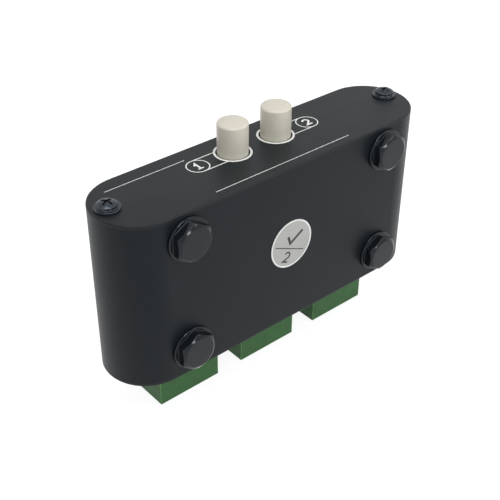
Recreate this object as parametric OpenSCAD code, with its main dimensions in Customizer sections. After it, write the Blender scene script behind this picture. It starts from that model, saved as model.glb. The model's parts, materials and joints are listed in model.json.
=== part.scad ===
// Speaker selector switch, in millimetres.
// A flat oval case of extruded metal is closed by a plate at each end. Two latching push
// switches and three pluggable terminal blocks share one circuit board inside it.
// X runs along the case, -Y is the face with the four hex feet, and +Z is up.
// The origin lies on the underside of the middle terminal plug, below the case's axis.

/* [Case] */
// Length of the case
case_len = 105; // [101:0.5:125]
// Depth of the case, front to back
case_depth = 25; // [24.4:0.2:32]
// Height of the case with both end panels
case_h = 50; // [48:0.5:70]
// Wall of the case tube
wall = 1.6; // [1.2:0.1:2]
// Thickness of each end panel
panel_t = 1.2; // [0.8:0.1:1.6]
// Chamfer around each end panel's outer edge
panel_edge = 0.3; // [0.1:0.05:0.5]
// Distance from the case's end to each panel screw
port_inset = 4.5; // [4.2:0.1:6]
// How far the panel screws sit behind the case's axis
port_y = 1; // [0.5:0.1:2]
// Outer diameter of the screw ports in the tube
port_d = 6; // [5:0.2:7]
// Slit along each screw port
port_slit = 1.2; // [0.8:0.1:1.8]

/* [Panel screws] */
// Diameter of the screw's shank
screw_d = 2.9; // [2.5:0.1:3.1]
// Length of the screw under its head
screw_len = 8; // [5:0.5:12]
// Diameter of the washer face
screw_washer_d = 6.8; // [6:0.1:7.4]
// Thickness of the washer face
screw_washer_t = 0.6; // [0.4:0.1:1]
// Diameter of the domed head
screw_head_d = 5.2; // [4.6:0.1:5.8]
// Height of the domed head above the washer face
screw_head_h = 1.5; // [1.2:0.1:2]
// Width of the cross recess
cross_w = 0.8; // [0.6:0.1:1]
// Length of the cross recess
cross_len = 3.4; // [2.4:0.1:3.8]
// Depth of the cross recess
cross_depth = 1; // [0.6:0.1:1.2]

/* [Feet] */
// Distance from each end of the case to the feet
foot_inset_x = 18; // [17.6:0.1:24]
// Distance from the case's top and bottom to the feet
foot_inset_z = 8; // [7.6:0.1:12]
// How far the pattern of feet sits above the case's middle
foot_rise = 0.5; // [0:0.1:1]
// Diameter of the foot's flange
foot_flange_d = 12.2; // [11.8:0.1:14]
// Thickness of the foot's flange
foot_flange_t = 0.8; // [0.5:0.1:1.2]
// Width of the hex head across its flats
foot_hex = 10; // [9:0.1:10.2]
// Height of the foot, flange and head together
foot_h = 3.6; // [3:0.1:6]
// Diameter of the foot's round face
foot_face_d = 9.2; // [8:0.1:9.6]
// Height of the bevel between the round face and the flats
foot_bevel = 0.7; // [0.4:0.1:1]
// Diameter of the foot's shank
foot_shank_d = 6; // [5:0.1:6]
// Thickness of the nut inside the case
foot_nut_t = 3; // [2:0.1:3.2]
// How far the shank stands out of its nut
foot_tip = 0.6; // [0.3:0.1:0.8]

/* [Circuit board] */
// Front to back place of the board's component side
board_face_y = -2.5; // [-2.9:0.1:-2.3]
// Thickness of the board
board_t = 1.6; // [1:0.1:1.8]
// Length of the lips that guide the board's ends
lip_len = 3.6; // [3.3:0.1:6]
// Thickness of the guide lips
lip_t = 1.1; // [0.8:0.1:1.4]
// How far solder tails stand out of the board
tail_len = 1.8; // [1.2:0.1:2]

/* [Terminal blocks] */
// Distance from each end of the case to the middle of the outer block
block_inset = 23.5; // [23:0.1:24.5]
// Wire pitch
pitch = 5.08; // [5:0.04:5.08]
// Depth of the plug, front to back
plug_depth = 15; // [14.6:0.1:16]
// Height of the plug's wire end, which stays outside the socket
plug_body_h = 9.8; // [9.4:0.1:12]
// Length of the plug's nose
nose_len = 8.4; // [7.6:0.1:8.6]
// How far the plug's front stands ahead of the board's face
plug_overhang = 1; // [0.8:0.1:1.4]
// Bevel along the plug's back lower edge
plug_bevel = 1.6; // [0.8:0.1:2]
// Height of the socket above the board
header_h = 8.6; // [8.4:0.1:9.4]
// Length of the socket
header_len = 12; // [11.6:0.1:14]
// Wall of the socket
header_wall = 1; // [0.8:0.1:1.2]
// Thickness of the socket's end walls
header_end = 0.8; // [0.6:0.1:1]
// Thickness of the wall that holds the pins
header_back = 3.4; // [2.8:0.1:3.5]
// How far the socket stands out of the case
header_out = 6.4; // [5.6:0.1:6.8]
// Side of the square pins
pin_w = 1; // [0.8:0.05:1.1]
// Height of the pins above the board
pin_rise = 3.8; // [3.6:0.1:4]
// Width of the plug's guide ribs
rib_w = 1.6; // [1:0.1:2.4]
// Length of the plug's guide ribs
rib_len = 5.5; // [3:0.1:6]

/* [Wire clamps] */
// Width of the clamp cage
cage_w = 3.8; // [3.4:0.1:3.9]
// Length of the clamp cage
cage_len = 5; // [4.4:0.1:5.2]
// Wall of the clamp cage
cage_wall = 0.5; // [0.4:0.05:0.6]
// Thickness of the threaded wall of the clamp cage
cage_nut_t = 1.1; // [0.9:0.1:1.3]
// Thickness of the current bar
bar_t = 0.8; // [0.6:0.1:0.9]
// Room for a wire below the bar
wire_gap = 2.6; // [2.2:0.1:2.7]
// Width of the wire entry
entry_w = 3.4; // [2.8:0.1:3.6]
// Diameter of the clamp screw's shank
clamp_shank_d = 2.5; // [2.2:0.1:2.6]
// Diameter of the clamp screw's head
clamp_head_d = 3.6; // [3.3:0.1:3.7]
// Height of the clamp screw's head
clamp_head_h = 2; // [1.6:0.1:2.2]
// Width of the driver slot in the clamp screw
clamp_slot_w = 0.6; // [0.5:0.05:0.8]

/* [Push switches] */
// Distance between the two buttons
button_gap = 15; // [14:0.5:18]
// Height of the plunger's axis above the board
stem_rise = 5.5; // [5.3:0.1:5.7]
// Width of the switch
switch_w = 10.6; // [10.2:0.1:11.4]
// Height of the switch above the board
switch_h = 11; // [10.8:0.1:12]
// Length of the switch
switch_len = 28; // [27:0.5:29]
// Wall of the switch cover
switch_wall = 0.8; // [0.6:0.1:1]
// Thickness of the switch's end walls
switch_end = 1.2; // [1:0.1:1.4]
// Thickness of the switch's base plate
base_t = 1.2; // [1:0.1:1.4]
// Length of the slider
slider_len = 15; // [14.5:0.1:15.5]
// Side of the square plunger
stem_w = 3.2; // [2.8:0.1:3.4]
// Full travel of the button
press_travel = 4.5; // [3:0.1:5]
// Spacing of the switch terminals
term_pitch = 2.54; // [2.4:0.02:2.6]
// Distance between the two rows of terminals
term_gap = 4.8; // [4:0.1:5]
// Side of the square terminals
term_w = 0.7; // [0.5:0.05:0.8]
// Thickness of the spring's wire
spring_wire = 0.5; // [0.4:0.05:0.6]
// Middle diameter of the spring
spring_d = 4.6; // [4:0.1:5]
// Turns of the spring
spring_turns = 6; // [5:1:7]
// Diameter of the latch wire
latch_d = 0.6; // [0.4:0.05:0.6]

/* [Button caps] */
// Diameter of the button cap
cap_d = 8.4; // [7.6:0.1:9]
// Length of the button cap
cap_len = 12; // [11.6:0.1:13]
// How far the cap stands out of the case
cap_proud = 9.4; // [9:0.1:10]
// Height of the cap's shallow dome
cap_dome = 0.5; // [0.2:0.1:0.8]
// Rounding of the cap's upper edge
cap_round = 0.6; // [0.3:0.1:0.8]
// Depth of the plunger in the cap
cap_grip = 8; // [6:0.5:8.5]

/* [Label] */
// Diameter of the round inspection label
label_d = 14.6; // [10:0.1:18]
// Thickness of the label
label_t = 0.15; // [0.1:0.05:0.3]
// How far the label's middle sits above the case's middle
label_rise = 0.8; // [0:0.1:2]

/* [Fits] */
// Gap between two pieces that meet face to face
seat = 0.1; // [0.05:0.01:0.12]
// Radial clearance of a screw in its thread
thread_gap = 0.05; // [0.02:0.01:0.08]
// Gap around a pin in its hole
pin_gap = 0.04; // [0.02:0.01:0.06]
// Gap around a sliding piece
slide_gap = 0.2; // [0.15:0.01:0.22]
// Gap around a piece that passes through a panel
pass_gap = 0.3; // [0.2:0.05:0.35]

/* [Hidden] */

ways = 4;
round_fn = 48;
small_fn = 24;
// How far two shapes of one piece run into each other
cut = 0.02;
// How far a cut runs on past the face that it opens
past = 1;

// Levels up the object
case_z = plug_body_h + seat + header_out;
tube_z = case_z + panel_t;
tube_h = case_h - 2 * panel_t;
top_z = case_z + case_h;
mid_z = case_z + case_h / 2;
mouth_z = plug_body_h + seat;
header_top_z = mouth_z + header_len;
cage_z = plug_body_h / 2;

// Case section
flat_half = (case_len - case_depth) / 2;
outer_r = case_depth / 2;
inner_r = outer_r - wall;
port_x = case_len / 2 - port_inset;
panel_hole_d = screw_d + 2 * pass_gap;

// Board
board_back_y = board_face_y - board_t;
board_edge_x = flat_half + sqrt(inner_r * inner_r - board_back_y * board_back_y) - slide_gap;
board_z = tube_z + seat;
board_h = tube_h - 2 * seat;
lip_x = board_edge_x - lip_len + slide_gap;
tail_y = board_back_y - tail_len;

// Terminal blocks
plug_w = ways * pitch;
header_w = plug_w + 2 * header_end;
plug_front_y = board_face_y - plug_overhang;
plug_back_y = plug_front_y + plug_depth;
header_back_y = board_face_y + header_h;
nose_front_y = board_face_y + header_wall + slide_gap;
nose_back_y = header_back_y - header_wall - slide_gap;
contact_y = board_face_y + pin_rise;
pin_leg_z = header_top_z + seat;
bar_low_y = contact_y - bar_t / 2;
bar_high_y = contact_y + bar_t / 2;
cage_low_y = bar_low_y - wire_gap - cage_wall;
cage_high_y = bar_high_y + cage_wall + cage_nut_t;
ledge_y = cage_high_y + wire_gap + seat;
ledge_t = 1.2;
well_y = ledge_y + ledge_t;
shank_room = 0.1;
head_room = 0.15;
well_d = clamp_head_d + 2 * head_room;
bar_gap = 0.15;
bar_w = cage_w - 2 * cage_wall - 2 * bar_gap;
pin_setback = 1.6;
rib_room = 1;

// Spring leaves that grip each pin
leaf_t = 0.3;
leaf_half = 0.8;
leaf_in = pin_w / 2 + pin_gap;
leaf_root_z = mouth_z + 1;
leaf_end_z = plug_body_h + nose_len - 1;
leaf_room = 0.36;
slot_half = leaf_in + leaf_t + leaf_room;

// Switches
button_y = board_face_y + stem_rise;
cap_z = top_z + cap_proud - cap_len;
cap_hole_d = cap_d + 2 * pass_gap;
cap_gap = 0.9;
switch_top_z = cap_z - press_travel - cap_gap;
switch_z = switch_top_z - switch_len;
base_top_y = board_face_y + base_t;
cover_top_y = board_face_y + switch_h;
cavity_w = switch_w - 2 * switch_wall;
cavity_top_y = cover_top_y - switch_wall;
slider_top_z = switch_top_z - switch_end - seat;
slider_z = slider_top_z - slider_len;
slider_low_y = base_top_y + slide_gap;
slider_high_y = cavity_top_y - slide_gap;
spring_z = switch_z + switch_end + seat;
spring_len = slider_z - seat - spring_z;
term_count = 6;
term_drop = 1;
term_z = slider_z - term_drop;
term_head_t = 0.1;
rub_gap = 0.02;
clip_reach = 0.6;
clip_len = term_pitch + 2 * clip_reach;
clip_low_y = base_top_y + term_head_t + rub_gap;
clip_w = 1.4;
clip_h = 1.4;
clip_foot = 0.8;
clip_t = 0.5;

// Latch: a wire in a channel with a heart-shaped island
channel_half = 1.7;
channel_depth = 1.6;
latch_x = -0.9;
latch_drop = 0.7;
latch_y = cavity_top_y - latch_drop;
latch_reach = 4.6;
island_gap = 0.8;
island_len = 3.4;
channel_room = 1.6;

block_x = case_len / 2 - block_inset;
block_xs = [-block_x, 0, block_x];
way_xs = [for (i = [0 : ways - 1]) (i - (ways - 1) / 2) * pitch];
switch_xs = [-button_gap / 2, button_gap / 2];

// ---------- shared shapes ----------

// A box between two corners
module span(low, high) {
  translate(low) cube(high - low);
}

// Oval outline: a rectangle with full round ends
module oval(half_len, r) {
  square([2 * half_len, 2 * r], center = true);
  for (s = [-1, 1]) translate([s * half_len, 0]) circle(r = r, $fn = 2 * round_fn);
}

// Section of an end panel's edge, from its middle plane outwards, bevelled at the top
module panel_section(r) {
  polygon([[0, 0], [r, 0], [r, panel_t - panel_edge], [r - panel_edge, panel_t], [0, panel_t]]);
}

// Oval plate with a bevelled upper edge
module panel_slab() {
  for (s = [-1, 1])
    translate([s * flat_half, 0, 0])
      rotate([0, 0, s * 90 - 180]) rotate_extrude(angle = 180, $fn = 2 * round_fn) panel_section(outer_r);
  translate([-flat_half, 0, 0]) rotate([90, 0, 90]) linear_extrude(2 * flat_half)
    for (s = [0, 1]) mirror([s, 0]) panel_section(outer_r);
}

module at_ports() {
  for (s = [-1, 1]) translate([s * port_x, port_y, 0]) children();
}

// ---------- case ----------

module tube_section() {
  difference() {
    union() {
      difference() {
        oval(flat_half, outer_r);
        oval(flat_half, inner_r);
      }
      intersection() {
        oval(flat_half, outer_r - wall / 2);
        union() {
          at_ports() circle(d = port_d, $fn = round_fn);
          for (s = [0, 1]) mirror([s, 0]) {
            translate([lip_x, board_face_y + seat]) square([case_len / 2 - lip_x, lip_t]);
            translate([lip_x, board_back_y - seat - lip_t]) square([case_len / 2 - lip_x, lip_t]);
          }
        }
      }
    }
    at_ports() circle(d = screw_d + 2 * thread_gap, $fn = round_fn);
    for (s = [0, 1]) mirror([s, 0])
      translate([port_x - port_d, port_y - port_slit / 2]) square([port_d, port_slit]);
  }
}

module at_feet() {
  foot_x = case_len / 2 - foot_inset_x;
  foot_z = case_h / 2 - foot_inset_z;
  for (x = [-foot_x, foot_x], z = [-foot_z, foot_z])
    translate([x, -outer_r, mid_z + foot_rise + z]) rotate([90, 0, 0]) children();
}

module case_tube() {
  color([0.05, 0.052, 0.056])
    difference() {
      translate([0, 0, tube_z]) linear_extrude(tube_h) tube_section();
      at_feet() translate([0, 0, -wall - past])
        cylinder(d = foot_shank_d + 2 * thread_gap, h = wall + 2 * past, $fn = round_fn);
    }
}

module top_panel() {
  color([0.06, 0.062, 0.066])
    difference() {
      translate([0, 0, top_z - panel_t]) panel_slab();
      translate([0, 0, top_z - panel_t - past]) {
        at_ports() cylinder(d = panel_hole_d, h = panel_t + 2 * past, $fn = round_fn);
        for (x = switch_xs) translate([x, button_y, 0])
          cylinder(d = cap_hole_d, h = panel_t + 2 * past, $fn = round_fn);
      }
    }
}

module bottom_panel() {
  color([0.06, 0.062, 0.066])
    difference() {
      translate([0, 0, case_z + panel_t]) mirror([0, 0, 1]) panel_slab();
      translate([0, 0, case_z - past]) at_ports()
        cylinder(d = panel_hole_d, h = panel_t + 2 * past, $fn = round_fn);
      for (x = block_xs)
        span([x - header_w / 2 - pass_gap, board_face_y - pass_gap, case_z - past],
             [x + header_w / 2 + pass_gap, header_back_y + pass_gap, tube_z + past]);
    }
}

// Washer-faced screw with a cross recess; its washer face rests on z = 0
module panel_screw() {
  dome_z = screw_washer_t + screw_head_h;
  difference() {
    rotate_extrude($fn = round_fn) {
      translate([0, -screw_len]) square([screw_d / 2, screw_len + cut]);
      square([screw_washer_d / 2, screw_washer_t]);
      intersection() {
        translate([0, screw_washer_t - cut]) square([screw_head_d / 2, screw_head_h + cut]);
        translate([0, dome_z - screw_head_d]) circle(r = screw_head_d, $fn = 2 * round_fn);
      }
    }
    for (a = [0, 90]) rotate([0, 0, a])
      translate([-cross_len / 2, -cross_w / 2, dome_z - cross_depth])
        cube([cross_len, cross_w, cross_depth + past]);
  }
}

module top_panel_screws() {
  color([0.09, 0.09, 0.1]) translate([0, 0, top_z]) at_ports() rotate([0, 0, 20]) panel_screw();
}

module bottom_panel_screws() {
  color([0.09, 0.09, 0.1])
    translate([0, 0, case_z]) at_ports() rotate([180, 0, 35]) panel_screw();
}

// Hex head with a bevelled round face on a round flange
module foot_bolt() {
  hex_r = foot_hex / 2 / cos(30);
  cylinder(d = foot_flange_d, h = foot_flange_t, $fn = round_fn);
  intersection() {
    rotate([0, 0, 30]) cylinder(r = hex_r, h = foot_h, $fn = 6);
    rotate_extrude($fn = round_fn)
      polygon([[0, 0], [hex_r + cut, 0], [hex_r + cut, foot_h - foot_bevel],
               [foot_face_d / 2, foot_h], [0, foot_h]]);
  }
  translate([0, 0, -wall - foot_nut_t - foot_tip])
    cylinder(d = foot_shank_d, h = wall + foot_nut_t + foot_tip + cut, $fn = round_fn);
}

module foot_bolts() {
  color([0.02, 0.02, 0.022]) at_feet() foot_bolt();
}

module foot_nuts() {
  color([0.03, 0.03, 0.032])
    at_feet() translate([0, 0, -wall - foot_nut_t]) difference() {
      rotate([0, 0, 30]) cylinder(r = foot_hex / 2 / cos(30), h = foot_nut_t, $fn = 6);
      translate([0, 0, -past])
        cylinder(d = foot_shank_d + 2 * thread_gap, h = foot_nut_t + 2 * past, $fn = round_fn);
    }
}

module inspection_label() {
  color([0.85, 0.85, 0.84])
    translate([0, -outer_r, mid_z + label_rise]) rotate([90, 0, 0])
      cylinder(d = label_d, h = label_t, $fn = 2 * round_fn);
}

// ---------- circuit board and sockets ----------

module at_pins() {
  for (x = block_xs, w = way_xs) translate([x + w, 0, 0]) children();
}

module at_terminals() {
  for (x = switch_xs, s = [-1, 1], i = [0 : term_count - 1])
    translate([x + s * term_gap / 2, 0, term_z + i * term_pitch]) children();
}

// Round hole through the board for a square pin
module board_hole(w) {
  translate([0, board_back_y - past, 0]) rotate([-90, 0, 0])
    cylinder(d = w * sqrt(2) + 2 * pin_gap, h = board_t + 2 * past, $fn = small_fn);
}

module circuit_board() {
  color([0.05, 0.3, 0.14])
    difference() {
      span([-board_edge_x, board_back_y, board_z], [board_edge_x, board_face_y, board_z + board_h]);
      at_pins() translate([0, 0, pin_leg_z + pin_w / 2]) board_hole(pin_w);
      at_terminals() board_hole(term_w);
    }
}

// Socket, open towards the plug, with a guide slot over each way
module header(i) {
  x = block_xs[i];
  slot_w = rib_w + 2 * slide_gap;
  color([0.12, 0.5, 0.2])
    difference() {
      span([x - header_w / 2, board_face_y, mouth_z], [x + header_w / 2, header_back_y, header_top_z]);
      span([x - plug_w / 2, board_face_y + header_wall, mouth_z - past],
           [x + plug_w / 2, header_back_y - header_wall, header_top_z - header_back]);
      for (w = way_xs) {
        span([x + w - slot_w / 2, nose_back_y - past, mouth_z - past],
             [x + w + slot_w / 2, header_back_y + past, plug_body_h + rib_len + rib_room]);
        span([x + w - pin_w / 2 - pin_gap, contact_y - pin_w / 2 - pin_gap, mouth_z],
             [x + w + pin_w / 2 + pin_gap, contact_y + pin_w / 2 + pin_gap, header_top_z + past]);
      }
    }
}

// Bent pins, from each socket through its back wall and down through the board
module header_pins() {
  color([0.75, 0.72, 0.62])
    at_pins() {
      span([-pin_w / 2, contact_y - pin_w / 2, mouth_z + pin_setback],
           [pin_w / 2, contact_y + pin_w / 2, pin_leg_z + pin_w]);
      span([-pin_w / 2, tail_y, pin_leg_z], [pin_w / 2, contact_y + pin_w / 2, pin_leg_z + pin_w]);
    }
}

// ---------- terminal plugs ----------

// Plug seen from its end: Y to the right and Z up
module plug_section() {
  polygon([[plug_front_y, 0], [plug_back_y - plug_bevel, 0], [plug_back_y, plug_bevel],
           [plug_back_y, plug_body_h], [plug_front_y, plug_body_h]]);
}

module plug(i) {
  x = block_xs[i];
  nose_half = plug_w / 2 - slide_gap;
  chamber_half = cage_w / 2 + seat;
  funnel = 0.3;
  color([0.16, 0.55, 0.22])
    difference() {
      union() {
        translate([x - plug_w / 2, 0, 0]) rotate([90, 0, 90]) linear_extrude(plug_w) plug_section();
        span([x - nose_half, nose_front_y, plug_body_h - cut],
             [x + nose_half, nose_back_y, plug_body_h + nose_len]);
        for (w = way_xs)
          span([x + w - rib_w / 2, nose_back_y - cut, plug_body_h - cut],
               [x + w + rib_w / 2, header_back_y - slide_gap, plug_body_h + rib_len]);
      }
      for (w = way_xs) translate([x + w, 0, 0]) {
        span([-chamber_half, cage_low_y - seat, cage_z - cage_len / 2 - seat],
             [chamber_half, ledge_y, cage_z + cage_len / 2 + seat]);
        span([-entry_w / 2, cage_low_y + cage_wall, -past], [entry_w / 2, bar_high_y, cage_z]);
        span([-entry_w / 2 - funnel, cage_low_y + cage_wall - funnel, -past],
             [entry_w / 2 + funnel, bar_high_y + funnel, 2 * funnel]);
        span([-slot_half, contact_y - slot_half, cage_z],
             [slot_half, contact_y + slot_half, plug_body_h + nose_len + past]);
        translate([0, ledge_y - cut, cage_z]) rotate([-90, 0, 0])
          cylinder(d = clamp_shank_d + 2 * shank_room, h = ledge_t + past, $fn = small_fn);
        translate([0, well_y, cage_z]) rotate([-90, 0, 0])
          cylinder(d = well_d, h = plug_depth, $fn = round_fn);
      }
    }
}

// Current bar in the clamp, with two spring leaves that grip the pin
module clamp_contacts(i) {
  bar_end_z = cage_z + cage_len / 2;
  color([0.78, 0.74, 0.6])
    for (w = way_xs) translate([block_xs[i] + w, 0, 0]) {
      span([-bar_w / 2, bar_low_y, cage_z - cage_len / 2], [bar_w / 2, bar_high_y, bar_end_z]);
      span([-leaf_in - leaf_t, contact_y - leaf_half, bar_end_z - cut],
           [leaf_in + leaf_t, contact_y + leaf_half, leaf_root_z]);
      for (s = [0, 1]) mirror([s, 0, 0])
        span([leaf_in, contact_y - leaf_half, leaf_root_z - cut],
             [leaf_in + leaf_t, contact_y + leaf_half, leaf_end_z]);
    }
}

// Open rectangular cages, lowered to take a wire, with a threaded wall under the screw
module clamp_cages(i) {
  color([0.7, 0.68, 0.62])
    for (w = way_xs) translate([block_xs[i] + w, 0, cage_z]) difference() {
      span([-cage_w / 2, cage_low_y, -cage_len / 2], [cage_w / 2, cage_high_y, cage_len / 2]);
      span([-cage_w / 2 + cage_wall, cage_low_y + cage_wall, -cage_len],
           [cage_w / 2 - cage_wall, cage_high_y - cage_nut_t, cage_len]);
      translate([0, cage_high_y - 2 * cage_nut_t, 0]) rotate([-90, 0, 0])
        cylinder(d = clamp_shank_d + 2 * thread_gap, h = 3 * cage_nut_t, $fn = round_fn);
    }
}

// Slotted clamp screws, each with its tip on the current bar and its head in the well
module clamp_screws(i) {
  head_y = well_y + seat;
  tip_y = bar_high_y + seat;
  color([0.72, 0.72, 0.7])
    for (w = way_xs) translate([block_xs[i] + w, 0, cage_z]) difference() {
      rotate([-90, 0, 0]) {
        translate([0, 0, tip_y]) cylinder(d = clamp_shank_d, h = head_y - tip_y + cut, $fn = round_fn);
        translate([0, 0, head_y]) cylinder(d = clamp_head_d, h = clamp_head_h, $fn = round_fn);
      }
      span([-clamp_head_d, head_y + clamp_head_h / 2, -clamp_slot_w / 2],
           [clamp_head_d, head_y + clamp_head_h + past, clamp_slot_w / 2]);
    }
}

// ---------- push switches ----------

module at_switch(i) {
  translate([switch_xs[i], 0, 0]) children();
}

// Cover, open towards the board, with a square hole for the plunger
module switch_cover(i) {
  hole_half = stem_w / 2 + slide_gap;
  color([0.75, 0.76, 0.78])
    at_switch(i) difference() {
      span([-switch_w / 2, base_top_y, switch_z], [switch_w / 2, cover_top_y, switch_top_z]);
      span([-cavity_w / 2, base_top_y - past, switch_z + switch_end],
           [cavity_w / 2, cavity_top_y, switch_top_z - switch_end]);
      span([-hole_half, button_y - hole_half, slider_top_z],
           [hole_half, button_y + hole_half, switch_top_z + past]);
    }
}

// Base plate that holds the terminals
module switch_base(i) {
  hole_half = term_w / 2 + pin_gap;
  color([0.35, 0.18, 0.08])
    at_switch(i) difference() {
      span([-switch_w / 2, board_face_y, switch_z], [switch_w / 2, base_top_y, switch_top_z]);
      for (s = [-1, 1], k = [0 : term_count - 1])
        translate([s * term_gap / 2, 0, term_z + k * term_pitch])
          span([-hole_half, board_face_y - past, -hole_half], [hole_half, base_top_y + past, hole_half]);
    }
}

// Terminals with flat heads on the base, down through the board
module switch_terminals() {
  head_half = 0.8;
  head_top_y = base_top_y + term_head_t;
  color([0.8, 0.78, 0.7])
    at_terminals() {
      span([-term_w / 2, tail_y, -term_w / 2], [term_w / 2, head_top_y, term_w / 2]);
      span([-head_half, base_top_y, -head_half], [head_half, head_top_y, head_half]);
    }
}

// Heart-shaped island that the latch wire runs round
module latch_island() {
  w = channel_half - slide_gap;
  l = island_len;
  polygon([[w * 0.3, 0], [w, l * 0.65], [w * 0.75, l],
           [w * 0.35, l * 0.8], [w * 0.05, l], [-w * 0.1, l * 0.65]]);
}

// Slider with its square plunger, pockets for the contact clips and a latch channel
module switch_slider(i) {
  half = cavity_w / 2 - slide_gap;
  floor_y = slider_high_y - channel_depth;
  channel_end_z = slider_z + latch_reach + press_travel + channel_room;
  color([0.9, 0.9, 0.88])
    at_switch(i) {
      difference() {
        span([-half, slider_low_y, slider_z], [half, slider_high_y, slider_top_z]);
        span([-channel_half, floor_y, slider_z - past], [channel_half, slider_high_y + past, channel_end_z]);
        at_clips() span([-clip_w / 2 - seat, slider_low_y - past, -clip_len / 2 - seat],
                        [clip_w / 2 + seat, slider_low_y + clip_h + seat, clip_len / 2 + seat]);
      }
      translate([0, slider_high_y - seat, slider_z + latch_reach + island_gap])
        rotate([90, 0, 0]) linear_extrude(channel_depth - seat + cut) latch_island();
      span([-stem_w / 2, button_y - stem_w / 2, slider_top_z - cut],
           [stem_w / 2, button_y + stem_w / 2, cap_z + cap_grip]);
    }
}

// One place for each pole's clip, midway between its upper two terminals
module at_clips() {
  for (s = [-1, 1], k = [1.5, 4.5])
    translate([s * term_gap / 2, 0, term_z + k * term_pitch]) children();
}

// Arched clips that bridge two terminals each
module wiper_clips(i) {
  color([0.82, 0.66, 0.3])
    at_switch(i) at_clips() difference() {
      span([-clip_w / 2, clip_low_y, -clip_len / 2],
           [clip_w / 2, slider_low_y + clip_h, clip_len / 2]);
      span([-clip_w, slider_low_y - past, -clip_len / 2 + clip_foot],
           [clip_w, slider_low_y + clip_h - clip_t, clip_len / 2 - clip_foot]);
    }
}

// Points of a coil, one ring of them at each step along its turns
coil_sides = 6;
function coil_ring(a, z, r, wire) =
  [for (k = [0 : coil_sides - 1]) let (b = k * 360 / coil_sides, d = r + wire / 2 * cos(b))
    [d * cos(a), d * sin(a), z + wire / 2 * sin(b)]];

// Compression coil from z = 0 to z = len, as one unbroken tube
module coil(r, wire, turns, len) {
  steps_per_turn = 16;
  n = turns * steps_per_turn;
  rise = len - wire;
  rings = [for (i = [0 : n]) coil_ring(i * 360 / steps_per_turn, wire / 2 + rise * i / n, r, wire)];
  points = [for (ring = rings) each ring];
  m = coil_sides;
  sides = [for (i = [0 : n - 1], k = [0 : m - 1]) let (a = i * m + k, b = i * m + (k + 1) % m)
    each [[a, b, b + m], [a, b + m, a + m]]];
  ends = [for (k = [1 : m - 2]) each [[0, k + 1, k], [n * m, n * m + k, n * m + k + 1]]];
  polyhedron(points, concat(sides, ends), convexity = 10);
}

module return_spring(i) {
  color([0.7, 0.72, 0.74])
    at_switch(i) translate([0, button_y, spring_z]) coil(spring_d / 2, spring_wire, spring_turns, spring_len);
}

// Latch wire, hooked at the switch's closed end, with its tip in the channel
module latch_wire(i) {
  tip_z = slider_z + latch_reach;
  hook = 1.4;
  color([0.66, 0.68, 0.7])
    at_switch(i) translate([latch_x, latch_y, spring_z]) {
      translate([0, 0, latch_d / 2]) rotate([90, 0, 0]) cylinder(d = latch_d, h = hook, $fn = small_fn);
      cylinder(d = latch_d, h = tip_z - spring_z, $fn = small_fn);
      translate([0, 0, tip_z - spring_z - latch_d / 2]) rotate([90, 0, 0])
        cylinder(d = latch_d, h = channel_depth - latch_drop, $fn = small_fn);
    }
}

// Section of the cap: a rounded upper edge under a shallow dome
module cap_section() {
  r = cap_d / 2;
  flat_r = r - cap_round;
  dome_r = (flat_r * flat_r + cap_dome * cap_dome) / (2 * cap_dome);
  shoulder = cap_len - cap_dome;
  square([r, shoulder - cap_round]);
  square([flat_r, shoulder]);
  intersection() {
    translate([flat_r, shoulder - cap_round]) circle(r = cap_round, $fn = round_fn);
    translate([flat_r - cut, shoulder - cap_round - cut]) square(cap_round + 2 * cut);
  }
  intersection() {
    translate([0, cap_len - dome_r]) circle(r = dome_r, $fn = 4 * round_fn);
    translate([0, shoulder - cut]) square([flat_r, cap_dome + cut]);
  }
}

module button_cap(i) {
  socket_half = stem_w / 2 + pin_gap;
  color([0.93, 0.91, 0.86])
    at_switch(i) translate([0, button_y, cap_z]) difference() {
      rotate_extrude($fn = 2 * round_fn) cap_section();
      translate([-socket_half, -socket_half, -past])
        cube([2 * socket_half, 2 * socket_half, cap_grip + seat + past]);
    }
}

// ---------- the nodes ----------

case_tube();
top_panel();
bottom_panel();
top_panel_screws();
bottom_panel_screws();
foot_bolts();
foot_nuts();
inspection_label();
circuit_board();
header(0);  // header_1
header(1);  // header_2
header(2);  // header_3
header_pins();
plug(0);  // plug_1
plug(1);  // plug_2
plug(2);  // plug_3
clamp_contacts(0);  // clamp_contacts_1
clamp_contacts(1);  // clamp_contacts_2
clamp_contacts(2);  // clamp_contacts_3
clamp_cages(0);  // clamp_cages_1
clamp_cages(1);  // clamp_cages_2
clamp_cages(2);  // clamp_cages_3
clamp_screws(0);  // clamp_screws_1
clamp_screws(1);  // clamp_screws_2
clamp_screws(2);  // clamp_screws_3
switch_cover(0);  // switch_cover_a
switch_cover(1);  // switch_cover_b
switch_base(0);  // switch_base_a
switch_base(1);  // switch_base_b
switch_terminals();
switch_slider(0);  // switch_slider_a
switch_slider(1);  // switch_slider_b
wiper_clips(0);  // wiper_clips_a
wiper_clips(1);  // wiper_clips_b
return_spring(0);  // return_spring_a
return_spring(1);  // return_spring_b
latch_wire(0);  // latch_wire_a
latch_wire(1);  // latch_wire_b
button_cap(0);  // button_cap_a
button_cap(1);  // button_cap_b
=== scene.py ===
"""Looks of a speaker selector switch: a flat oval black case with two push buttons, three pluggable
terminal blocks and four hex feet, in a plain white studio.

The solids come from the frame. This script dresses them, and adds what is printed on them, feet with
rounded edges, and return springs.
"""

import json
import logging
import math
from dataclasses import dataclass, field
from enum import Enum
from typing import Any, Optional, Sequence, Union

import bmesh
import bpy
from mathutils import Matrix, Vector

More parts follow.
